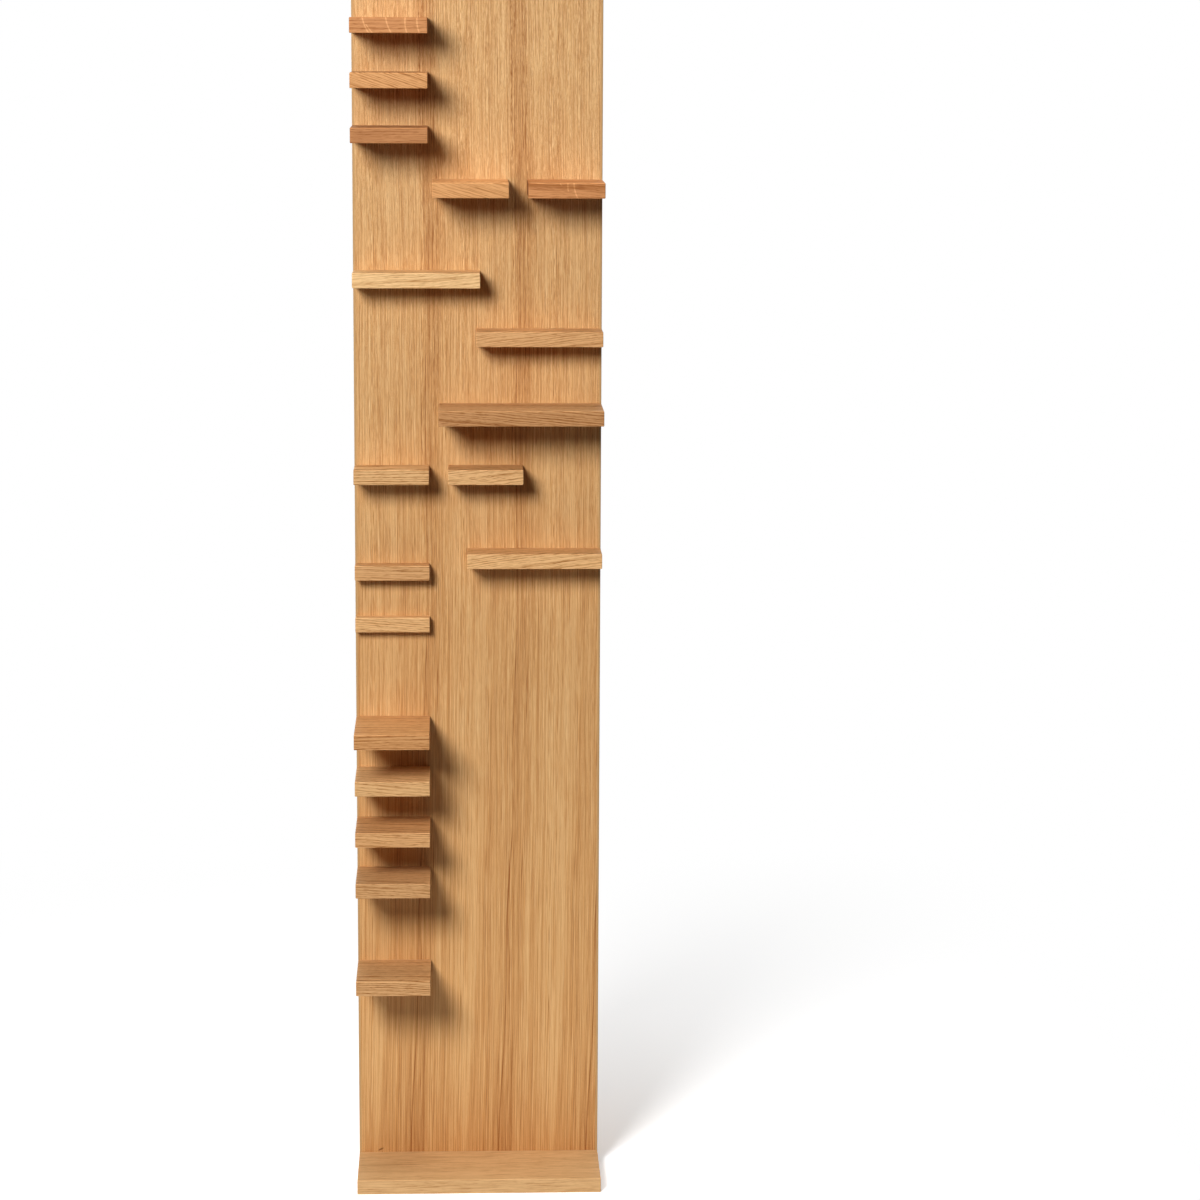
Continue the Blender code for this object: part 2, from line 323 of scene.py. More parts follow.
class StageProperties(bpy.types.PropertyGroup):
    """Camera, lamps and floor."""

    camera_place: place_property("Camera", "Place of the camera", (-0.0300, -4.3770, 1.5757))
    camera_pitch: angle_property("Pitch", "How far the camera looks down", radians(9.964))
    camera_turn: angle_property("Turn", "How far the camera looks to the right", radians(2.516))
    camera_roll: angle_property("Roll", "How far the camera is tipped", radians(0.306))
    lens: FloatProperty(name="Lens", description="Focal length", default=99.96, unit="CAMERA")
    key_place: place_property("Key", "Place of the key lamp", (-1.24, -2.94, 2.5))
    key_target: place_property("Target", "What the key lamp and the lamp overhead point at", (0, 0.05, 0.3))
    key_size: pair_property("Key size", "Width and height of the key lamp", (1.15, 1.35))
    key_power: power_property("Key power", "Power of the key lamp", 141)
    top_place: place_property("Top", "Place of the lamp overhead", (-0.2, -0.35, 5.0))
    top_size: pair_property("Top size", "Width and height of the lamp overhead", (1.5, 1.5))
    top_power: power_property("Top power", "Power of the lamp overhead", 68)
    back_place: place_property("Back", "Place of the lamp behind the shelf", (0.4, 2.6, 0.15))
    back_target: place_property("Back target", "What the lamp behind points at", (0, 0.07, 1.1))
    back_size: pair_property("Back size", "Width and height of the lamp behind", (1.4, 0.2))
    back_power: power_property("Back power", "Power of the lamp behind", 9)
    back_beam: angle_property("Back beam", "Spread of the lamp behind", radians(80))
    floor_sides: pair_property("Floor sides", "The floor's left and right edges", (-3, 3))
    floor_ends: pair_property("Floor ends", "The floor's front and back edges", (-0.65, 6))
    bounce: share_property("Bounce", "Light that the white floor throws back", 0.80)
    shadow: share_property("Shadow", "How much of its shadow the floor shows at the shelf", 0.64)
    shadow_back: pair_property("Shadow behind", "Where the shadow starts to pale and ends", (0.05, 1.8))
    shadow_side: pair_property("Shadow beside", "Where the shadow starts to pale and ends", (0.25, 1))


# Shader nodes


def set_inputs(tree, node, inputs):
    """Fills inputs of a shader node. Each gets a socket to link from or a plain value."""
    for key, source in inputs.items():
        if isinstance(source, bpy.types.NodeSocket):
            tree.links.new(source, node.inputs[key])
        else:
            node.inputs[key].default_value = source


def add_node(tree, kind, inputs=None, **settings):
    """Adds a shader node with its settings and inputs, and returns its outputs. Both go by name or by number:
    a node that mixes colours has its amount at 0, its colours at 6 and 7, and its result at 2."""
    node = tree.nodes.new(kind)
    for name, value in settings.items():
        setattr(node, name, value)
    set_inputs(tree, node, inputs or {})
    return node.outputs


def new_material(name):
    """A new material, its node tree and its surface shader."""
    material = bpy.data.materials.new(name)
    material.use_nodes = True
    tree = material.node_tree
    return material, tree, tree.nodes["Principled BSDF"]


def millimetres_from(tree, origin):
    """The place on a surface in mm from an origin in the part's frame."""
    where = add_node(tree, "ShaderNodeTexCoord")["Object"]
    apart = add_node(tree, "ShaderNodeVectorMath", {0: where, 1: origin}, operation="SUBTRACT")
    return add_node(tree, "ShaderNodeVectorMath", {0: apart[0], "Scale": 1 / MM}, operation="SCALE")[0]


def distance(tree, value, line):
    """How far a value is from a line, to either side of it."""
    apart = add_node(tree, "ShaderNodeMath", {0: value, 1: line}, operation="SUBTRACT")
    return add_node(tree, "ShaderNodeMath", {0: apart[0]}, operation="ABSOLUTE")[0]


def blotches(tree, place, lengths, detail):
    """Noise whose blotches have the given lengths in mm along the three axes of a place."""
    scale = tuple(1 / length for length in lengths)
    grid = add_node(tree, "ShaderNodeVectorMath", {0: place, 1: scale}, operation="MULTIPLY")
    return add_node(tree, "ShaderNodeTexNoise", {"Vector": grid[0], "Scale": 1.0, "Detail": detail})


def grain(tree, place, lengths, detail=0.0):
    """The strength of such noise, around 0."""
    noise = blotches(tree, place, lengths, detail)
    return add_node(tree, "ShaderNodeMath", {0: noise[0], 1: 0.5}, operation="SUBTRACT")[0]


def tinted(tree, colour, tints):
    """A colour multiplied by each tint in turn, as much as the amount that comes with it says."""
    for amount, tint in tints:
        layer = {0: amount, 6: colour, 7: tint}
        colour = add_node(tree, "ShaderNodeMix", layer, data_type="RGBA", blend_type="MULTIPLY")[2]
    return colour


def oil(tree, shader, colour, pores, pore_roughness, pore_relief):
    """Finishes wood with oil: a satin sheen that the open pores break up."""
    sheen = {0: pores, 1: pore_roughness, 2: OILED_ROUGHNESS}
    rough = add_node(tree, "ShaderNodeMath", sheen, operation="MULTIPLY_ADD")
    relief = {"Height": pores, "Strength": pore_relief, "Distance": PORE_DEPTH * MM}
    bump = add_node(tree, "ShaderNodeBump", relief, invert=True)
    set_inputs(tree, shader, {"Base Color": colour, "Roughness": rough[0], "Normal": bump[0]})
    shader.inputs["Specular IOR Level"].default_value = OILED_SPECULAR


# Solid oak


def place_in_log(tree, given):
    """A board's place, slanted by the lean of its grain, and where it lies in the log, whose stem bends."""
    along = add_node(tree, "ShaderNodeSeparateXYZ", {0: given["Place"]})["X"]
    slope = {0: given["Lean"], 1: along, 2: given["Place"]}
    leant = add_node(tree, "ShaderNodeVectorMath", slope, operation="MULTIPLY_ADD")[0]
    straight = add_node(tree, "ShaderNodeVectorMath", {0: leant, 1: given["Cut"]})[0]
    bends = blotches(tree, straight, BEND, 2.0)["Color"]
    sway = {0: bends, 1: (0.0, BEND_SWAY, BEND_SWAY), 2: (0.0, -BEND_SWAY / 2, -BEND_SWAY / 2)}
    offset = add_node(tree, "ShaderNodeVectorMath", sway, operation="MULTIPLY_ADD")
    return leant, add_node(tree, "ShaderNodeVectorMath", {0: straight, 1: offset[0]})[0]


def early_wood(tree, log, ring_width):
    """How open and dark the wood is, from 0 to 1: early wood is open, and late wood is dense and pale. The
    growth rings lie about the pith."""
    across = add_node(tree, "ShaderNodeVectorMath", {0: log, 1: (0, 1, 1)}, operation="MULTIPLY")
    radius = add_node(tree, "ShaderNodeVectorMath", {0: across[0]}, operation="LENGTH")["Value"]
    years = add_node(tree, "ShaderNodeMath", {0: radius, 1: ring_width}, operation="DIVIDE")[0]
    spells = {"W": years, "Scale": UNEVEN_RATE, "Detail": 1.0}
    uneven = add_node(tree, "ShaderNodeTexNoise", spells, noise_dimensions="1D")
    growth = {0: uneven[0], 1: UNEVEN_YEARS, 2: years}
    phase = add_node(tree, "ShaderNodeMath", growth, operation="MULTIPLY_ADD")
    season = add_node(tree, "ShaderNodeMath", {0: phase[0]}, operation="FRACT")
    early = add_node(tree, "ShaderNodeFloatCurve", {1: season[0]})[0]
    mapping = early.node.mapping
    points = mapping.curves[0].points
    first, *others, last = SEASONS
    points[0].location = first
    points[1].location = last
    for place in others:
        points.new(*place)
    mapping.update()
    return early


def open_pores(tree, log, early, rings):
    """How strong the pores are, from 0 to 1: they are open in early wood, and faint where no rings show."""
    dashes = {"Value": grain(tree, log, PORE, 1.0), "From Min": 0.0, "From Max": PORE_LEVEL}
    pores = add_node(tree, "ShaderNodeMapRange", dashes, interpolation_type="SMOOTHSTEP")
    wood = {0: early, 1: 1 - LATE_PORES, 2: LATE_PORES}
    opened = add_node(tree, "ShaderNodeMath", wood, operation="MULTIPLY_ADD")
    in_season = add_node(tree, "ShaderNodeMath", {0: opened[0], 1: pores[0]}, operation="MULTIPLY")
    board = {"Value": rings, "From Max": FULL_RINGS, "To Min": RINGLESS_PORES, "To Max": 1.0}
    coarse = add_node(tree, "ShaderNodeMapRange", board)
    return add_node(tree, "ShaderNodeMath", {0: in_season[0], 1: coarse[0]}, operation="MULTIPLY")[0]


def board_depth(tree, leant, log, early, given):
    """How dark a board is, from 0 to 1: its rings, its band, and fibres and clouds along the grain."""
    ring = add_node(tree, "ShaderNodeMath", {0: early, 1: RING_MIDDLE}, operation="SUBTRACT")
    rings = {0: ring[0], 1: given["Rings"], 2: GROUND_DEPTH}
    ringed = add_node(tree, "ShaderNodeMath", rings, operation="MULTIPLY_ADD")
    upward = add_node(tree, "ShaderNodeSeparateXYZ", {0: leant})["Z"]
    band = add_node(tree, "ShaderNodeSeparateXYZ", {0: given["Band"]})
    apart = distance(tree, upward, band["X"])
    fade = {"Value": apart, "From Max": band["Y"], "To Min": band["Z"], "To Max": 0.0}
    stripe = add_node(tree, "ShaderNodeMapRange", fade, interpolation_type="SMOOTHSTEP")
    banded = add_node(tree, "ShaderNodeMath", {0: ringed[0], 1: stripe[0]})
    fibres = {0: grain(tree, log, FIBRE, 2.0), 1: FIBRE_DEPTH, 2: banded[0]}
    fibred = add_node(tree, "ShaderNodeMath", fibres, operation="MULTIPLY_ADD")
    clouds = {0: grain(tree, log, CLOUD, 1.0), 1: CLOUD_DEPTH, 2: fibred[0]}
    return add_node(tree, "ShaderNodeMath", clouds, operation="MULTIPLY_ADD", use_clamp=True)[0]


def side_tints(tree, brighter):
    """The tints of a board's sides. Its eased edges get a painted highlight, its end grain drinks the oil and
    is dark, and its wide faces are painted lighter or darker than the edges: painted light and shade."""
    normal = add_node(tree, "ShaderNodeNewGeometry")["True Normal"]
    sides = add_node(tree, "ShaderNodeVectorMath", {0: normal}, operation="ABSOLUTE")
    side = add_node(tree, "ShaderNodeSeparateXYZ", {0: sides[0]})
    wider = add_node(tree, "ShaderNodeMath", {0: side["X"], 1: side["Y"]}, operation="MAXIMUM")
    widest = add_node(tree, "ShaderNodeMath", {0: wider[0], 1: side["Z"]}, operation="MAXIMUM")
    # Eased edges: the mask for the painted highlight.
    edge = {"Value": widest[0], "From Min": EASED[0], "From Max": EASED[1]}
    eased = add_node(tree, "ShaderNodeMapRange", edge)
    end = add_node(tree, "ShaderNodeMapRange", {"Value": side["X"], "From Min": SIDE[0], "From Max": SIDE[1]})
    # Wide faces get painted light or shade: brighter or darker than the edges, and less red where brighter.
    wide = {"Value": side["Z"], "From Min": SIDE[0], "From Max": SIDE[1], "To Min": 1.0, "To Max": brighter}
    face = add_node(tree, "ShaderNodeMapRange", wide)
    green = add_node(tree, "ShaderNodeMath", {0: face[0], 1: PAINTED_LIGHT_GREEN}, operation="POWER")
    blue = add_node(tree, "ShaderNodeMath", {0: face[0], 1: PAINTED_LIGHT_BLUE}, operation="POWER")
    painted_light_tint = add_node(tree, "ShaderNodeCombineColor", {"Red": face[0], "Green": green[0], "Blue": blue[0]})
    return [(eased[0], EDGE_HIGHLIGHT_TINT), (end[0], END_TINT), (1.0, painted_light_tint[0])]


def oak_figure(oak):
    """The figure of a solid board, shared by all of them, with lengths in mm: growth rings about the pith,
    and pores and fibres along the grain."""
    tree = bpy.data.node_groups.new("plain_sawn_oak_figure", "ShaderNodeTree")
    for name, kind in (
        ("Place", "NodeSocketVector"),
        ("Cut", "NodeSocketVector"),
        ("Lean", "NodeSocketVector"),
        ("Tone", "NodeSocketColor"),
        ("Rings", "NodeSocketFloat"),
        ("Face", "NodeSocketFloat"),
        ("Band", "NodeSocketVector"),
    ):
        tree.interface.new_socket(name, in_out="INPUT", socket_type=kind)
    tree.interface.new_socket("Color", in_out="OUTPUT", socket_type="NodeSocketColor")
    tree.interface.new_socket("Pores", in_out="OUTPUT", socket_type="NodeSocketFloat")
    given = add_node(tree, "NodeGroupInput")
    leant, log = place_in_log(tree, given)
    early = early_wood(tree, log, oak.ring_width / MM)
    pores = open_pores(tree, log, early, given["Rings"])
    depth = board_depth(tree, leant, log, early, given)
    tints = [(depth, RING_TINT), (pores, PORE_TINT)] + side_tints(tree, given["Face"])
    add_node(tree, "NodeGroupOutput", {"Color": tinted(tree, given["Tone"], tints), "Pores": pores})
    return tree


def ray_flecks(tree, corner, half, colour, flecks):
    """Pale, slightly bowed lines where the front cuts through rays, each about 1 mm wide. The board's
    underside is at the corner, and half is half its height in mm."""
    place = add_node(tree, "ShaderNodeSeparateXYZ", {0: millimetres_from(tree, corner)})
    normal = add_node(tree, "ShaderNodeNewGeometry")["True Normal"]
    facing = add_node(tree, "ShaderNodeSeparateXYZ", {0: normal})["Y"]
    front = add_node(tree, "ShaderNodeMath", {0: facing, 1: FRONT}, operation="LESS_THAN")
    middle = add_node(tree, "ShaderNodeMath", {0: place["Z"], 1: half}, operation="SUBTRACT")
    square = add_node(tree, "ShaderNodeMath", {0: middle[0], 1: 2.0}, operation="POWER")
    bow = {0: square[0], 1: -RAY_BOW / half**2, 2: place["X"]}
    bowed = add_node(tree, "ShaderNodeMath", bow, operation="MULTIPLY_ADD")
    near, far = RAY_FADE
    for top_x, foot_x, top, foot in flecks:
        run = (top_x - foot_x) / (top - foot)
        slant = {0: place["Z"], 1: -run, 2: bowed[0]}
        slanted = add_node(tree, "ShaderNodeMath", slant, operation="MULTIPLY_ADD")
        apart = distance(tree, slanted[0], foot_x - run * foot - RAY_BOW)
        fade = {"Value": apart, "From Min": near, "From Max": far, "To Min": 1.0, "To Max": 0.0}
        line = add_node(tree, "ShaderNodeMapRange", fade, interpolation_type="SMOOTHSTEP")
        reach = distance(tree, place["Z"], (top + foot) / 2)
        within = add_node(tree, "ShaderNodeMath", {0: reach, 1: (top - foot) / 2}, operation="LESS_THAN")
        ahead = add_node(tree, "ShaderNodeMath", {0: within[0], 1: front[0]}, operation="MULTIPLY")
        shown = add_node(tree, "ShaderNodeMath", {0: line[0], 1: ahead[0]}, operation="MULTIPLY")
        colour = tinted(tree, colour, [(shown[0], RAY_TINT)])
    return colour


def solid_oak(node, cut, figure, oak):
    """Solid oak, planed, sanded and oiled: warm straw to brown, with darker rings and open pores along the
    board."""
    low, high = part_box(node)
    material, tree, shader = new_material(f"oiled_solid_oak_{node}")
    board = {
        "Place": millimetres_from(tree, (low + high) / 2),
        "Cut": cut.place,
        "Lean": (0.0, -cut.lean[0], -cut.lean[1]),
        "Tone": [cut.shade * channel for channel in getattr(oak, cut.tone)] + [1],
        "Rings": cut.rings,
        "Face": cut.face,
        "Band": cut.band,
    }
    look = add_node(tree, "ShaderNodeGroup", board, node_tree=figure)
    colour = look["Color"]
    if cut.flecks:
        colour = ray_flecks(tree, low, (high.z - low.z) / 2 / MM, colour, cut.flecks)
    oil(tree, shader, colour, look["Pores"], pore_roughness=0.2, pore_relief=0.35)
    return material


# Veneer


def leaf_places(tree, place, leaf_width):
    """The height in the figure of the leaf that a place lies in, and how far across that leaf it is for the
    streaks, which lean away from upright, and for the fibres, which lean less."""
    leaves = add_node(tree, "ShaderNodeMath", {0: place["X"], 1: leaf_width}, operation="DIVIDE")
    leaf = add_node(tree, "ShaderNodeMath", {0: leaves[0]}, operation="FLOOR")
    inside = add_node(tree, "ShaderNodeMath", {0: place["X"], 1: leaf_width}, operation="MODULO")[0]
    slip = {0: leaf[0], 1: LEAF_SLIP, 2: place["Z"]}
    height = add_node(tree, "ShaderNodeMath", slip, operation="MULTIPLY_ADD")[0]
    above = add_node(tree, "ShaderNodeMath", {0: height, 1: LINE_HEIGHT}, operation="SUBTRACT")
    square = add_node(tree, "ShaderNodeMath", {0: above[0], 1: 2.0}, operation="POWER")
    bow = {0: square[0], 1: LINE_BOW / LINE_HEIGHT**2, 2: -LINE_PLACE}
    bowed = add_node(tree, "ShaderNodeMath", bow, operation="MULTIPLY_ADD")
    spells = {"W": height, "Scale": 1 / LINE_WANDER_LENGTH, "Detail": 0.0}
    noise = add_node(tree, "ShaderNodeTexNoise", spells, noise_dimensions="1D")
    wander = {0: noise[0], 1: LINE_WANDER, 2: -LINE_WANDER / 2}
    wandering = add_node(tree, "ShaderNodeMath", wander, operation="MULTIPLY_ADD")
    lean = add_node(tree, "ShaderNodeMath", {0: wandering[0], 1: bowed[0]})[0]
    streak_x = add_node(tree, "ShaderNodeMath", {0: inside, 1: lean})[0]
    fibres = {0: lean, 1: FIBRE_LEAN, 2: inside}
    fibre_x = add_node(tree, "ShaderNodeMath", fibres, operation="MULTIPLY_ADD")[0]
    return height, streak_x, fibre_x


def fibre_heights(tree, fibre_x, height):
    """The height for drawing fibres: each starts at its own height, and they get shorter higher up."""
    spells = {"W": fibre_x, "Scale": 1 / FIBRE_APART, "Detail": 0.0}
    noise = add_node(tree, "ShaderNodeTexNoise", spells, noise_dimensions="1D")
    start = add_node(tree, "ShaderNodeMath", {0: noise[0], 1: FIBRE_SPREAD}, operation="MULTIPLY")
    rise = add_node(tree, "ShaderNodeMath", {0: height, 1: FIBRE_CROWD_HEIGHT}, operation="DIVIDE")
    square = add_node(tree, "ShaderNodeMath", {0: rise[0], 1: 2.0}, operation="POWER")
    crowd = {0: square[0], 1: FIBRE_CROWD_MORE, 2: FIBRE_CROWD}
    crowded = add_node(tree, "ShaderNodeMath", crowd, operation="MULTIPLY_ADD")
    drawn = {0: crowded[0], 1: height, 2: start[0]}
    return add_node(tree, "ShaderNodeMath", drawn, operation="MULTIPLY_ADD")[0]


def leaf_depth(tree, height, coarse, streak_x, sheet, fibre_sheet):
    """How dark the veneer is, from 0 to 1: layers of long, narrow grain, and the main streaks."""
    low, high = FOOT
    ground = {"Value": height, "From Min": low, "From Max": high, "To Min": FOOT_DEPTH, "To Max": LEAF_DEPTH}
    depth = add_node(tree, "ShaderNodeMapRange", ground)
    layers = [(sheet, layer) for layer in BAND_LAYERS] + [(fibre_sheet, layer) for layer in FIBRE_LAYERS]
    for source, (wide, long, at_foot, at_top) in layers:
        change = {"Value": coarse, "To Min": at_foot, "To Max": at_top}
        strength = add_node(tree, "ShaderNodeMapRange", change)
        fibres = {0: grain(tree, source, (wide, 1, long), 1.0), 1: strength[0], 2: depth[0]}
        depth = add_node(tree, "ShaderNodeMath", fibres, operation="MULTIPLY_ADD")
    pieces = {0: grain(tree, fibre_sheet, STREAK_PIECE, 1.0), 1: STREAK_BREAK, 2: 1.0}
    broken = add_node(tree, "ShaderNodeMath", pieces, operation="MULTIPLY_ADD")
    for line, reach, at_foot, at_top in STREAKS:
        change = {"Value": coarse, "To Min": at_foot, "To Max": at_top}
        strength = add_node(tree, "ShaderNodeMapRange", change)
        apart = distance(tree, streak_x, line)
        fade = {"Value": apart, "From Min": 0.0, "From Max": reach, "To Min": strength[0], "To Max": 0.0}
        streak = add_node(tree, "ShaderNodeMapRange", fade, interpolation_type="SMOOTHSTEP")
        streaked = {0: streak[0], 1: broken[0], 2: depth[0]}
        depth = add_node(tree, "ShaderNodeMath", streaked, operation="MULTIPLY_ADD")
    return depth[0]


def leaf_pores(tree, coarse, fibre_sheet):
    """How strong the veneer's pores are, from 0 to 1: short dark dashes, stronger towards the top."""
    at_foot, at_top = LEAF_PORES
    change = {"Value": coarse, "To Min": at_foot, "To Max": at_top}
    strength = add_node(tree, "ShaderNodeMapRange", change)
    noise = grain(tree, fibre_sheet, LEAF_PORE)
    none, full = LEAF_PORE_LEVELS
    dashes = {"Value": noise, "From Min": none, "From Max": full, "To Max": strength[0]}
    return add_node(tree, "ShaderNodeMapRange", dashes, interpolation_type="SMOOTHSTEP")[0]


def pin_knot(tree, from_corner):
    """How much a place belongs to the pin knot, a short dark slit low on the front, from 0 to 1."""
    apart = add_node(tree, "ShaderNodeVectorMath", {0: from_corner, 1: KNOT_PLACE}, operation="SUBTRACT")
    slant = {"Vector": apart[0], "Angle": KNOT_SLANT}
    turned = add_node(tree, "ShaderNodeVectorRotate", slant, rotation_type="Y_AXIS")
    scaled = add_node(tree, "ShaderNodeVectorMath", {0: turned[0], 1: KNOT_REACH}, operation="DIVIDE")
    out = add_node(tree, "ShaderNodeVectorMath", {0: scaled[0]}, operation="LENGTH")["Value"]
    fade = {"Value": out, "From Min": KNOT_FADE[0], "From Max": KNOT_FADE[1]}
    return add_node(tree, "ShaderNodeMapRange", fade)[0]


def edged_panel(tree, from_corner, size, veneer, colour, pores):
    """The veneer's colour with the solid strip that lips the long edges and the top, and with the raw core,
    which shows inside the holes and at the foot."""
    place = add_node(tree, "ShaderNodeSeparateXYZ", {0: from_corner})
    width, thickness, tall = size
    strip = list(veneer.lipping) + [1]
    strip_width = veneer.lipping_width / MM

    # The strip on the top, with fibres along it
    strip_foot = tall - strip_width
    topmost = add_node(tree, "ShaderNodeMath", {0: place["Z"], 1: strip_foot}, operation="GREATER_THAN")
    noise = grain(tree, from_corner, STRIP_FIBRE, 2.0)
    none, full = STRIP_FIBRE_LEVELS
    levels = {"Value": noise, "From Min": none, "From Max": full}
    fibres = add_node(tree, "ShaderNodeMapRange", levels, interpolation_type="SMOOTHSTEP")
    top_strip = tinted(tree, strip, [(fibres[0], STRIP_FIBRE_TINT)])
    topped = add_node(tree, "ShaderNodeMix", {0: topmost[0], 6: colour, 7: top_strip}, data_type="RGBA")

    # The strips on the long edges
    sideways = distance(tree, place["X"], width / 2)
    strip_side = width / 2 - strip_width
    outer = add_node(tree, "ShaderNodeMath", {0: sideways, 1: strip_side}, operation="GREATER_THAN")
    side_strip = tinted(tree, strip, [(pores, STRIP_PORE_TINT)])
    edged = add_node(tree, "ShaderNodeMix", {0: outer[0], 6: topped[2], 7: side_strip}, data_type="RGBA")

    # The core
    lipped = add_node(tree, "ShaderNodeMath", {0: outer[0], 1: topmost[0]}, operation="MAXIMUM")
    inward = distance(tree, place["Y"], thickness / 2)
    deep = add_node(tree, "ShaderNodeMath", {0: inward, 1: thickness / 2 - CORE_DEPTH}, operation="LESS_THAN")
    bare = add_node(tree, "ShaderNodeMath", {0: deep[0], 1: lipped[0]}, operation="SUBTRACT", use_clamp=True)
    core = list(veneer.core) + [1]
    return add_node(tree, "ShaderNodeMix", {0: bare[0], 6: edged[2], 7: core}, data_type="RGBA")[2]


def oak_veneer(veneer):
    """Sliced oak veneer in slip-matched leaves, sanded and oiled: every leaf repeats the same straight
    figure, one dark line with paler streaks beside it, in long fine fibres and short pores."""
    material, tree, shader = new_material("oiled_slip_matched_oak_veneer")
    low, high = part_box("back_panel")
    size = (high - low) / MM
    from_corner = millimetres_from(tree, low)
    place = add_node(tree, "ShaderNodeSeparateXYZ", {0: from_corner})
    height, streak_x, fibre_x = leaf_places(tree, place, veneer.leaf_width / MM)
    sheet = add_node(tree, "ShaderNodeCombineXYZ", {"X": fibre_x, "Y": place["Y"], "Z": height})[0]
    drawn = fibre_heights(tree, fibre_x, height)
    fibre_sheet = add_node(tree, "ShaderNodeCombineXYZ", {"X": fibre_x, "Y": place["Y"], "Z": drawn})[0]
    heights = {"Value": height, "From Min": COARSE[0], "From Max": COARSE[1]}
    coarse = add_node(tree, "ShaderNodeMapRange", heights)[0]

    depth = leaf_depth(tree, height, coarse, streak_x, sheet, fibre_sheet)
    shades = add_node(tree, "ShaderNodeValToRGB", {0: depth})[0]
    ramp = shades.node.color_ramp
    ramp.elements[0].color = list(veneer.pale) + [1]
    ramp.elements[1].color = list(veneer.dark) + [1]
    ramp.elements.new(0.5).color = list(veneer.middle) + [1]
    pores = leaf_pores(tree, coarse, fibre_sheet)

    # The leaves are paler and greyer at the top, and redder towards the floor.
    rise = add_node(tree, "ShaderNodeMath", {0: height, 1: size.z}, operation="DIVIDE", use_clamp=True)
    toned = {0: rise[0], 6: LEAF_FOOT_TINT, 7: LEAF_TOP_TINT}
    tone = add_node(tree, "ShaderNodeMix", toned, data_type="RGBA")[2]
    tints = ((pores, LEAF_PORE_TINT), (1.0, tone), (pin_knot(tree, from_corner), KNOT_TINT))
    colour = edged_panel(tree, from_corner, size, veneer, tinted(tree, shades, tints), pores)
    oil(tree, shader, colour, pores, pore_roughness=0.15, pore_relief=0.3)
    return material


# Screws


def zinc_plate(screws):
    """Bright zinc plating on steel wire: pale blue-grey metal with a faint cloudy bloom."""
    material, tree, shader = new_material("bright_zinc_plated_steel")
    where = add_node(tree, "ShaderNodeTexCoord")["Object"]
    cloud = add_node(tree, "ShaderNodeTexNoise", {"Vector": where, "Scale": BLOOM_SPOTS, "Detail": 3.0})[0]
    tones = {0: cloud, 6: list(screws.zinc) + [1], 7: list(screws.bloom) + [1]}
    tone = add_node(tree, "ShaderNodeMix", tones, data_type="RGBA")
    sheen = {0: cloud, 1: BLOOM_ROUGHNESS, 2: ZINC_ROUGHNESS}
    rough = add_node(tree, "ShaderNodeMath", sheen, operation="MULTIPLY_ADD")
    set_inputs(tree, shader, {"Metallic": 1.0, "Base Color": tone[2], "Roughness": rough[0]})
    return material


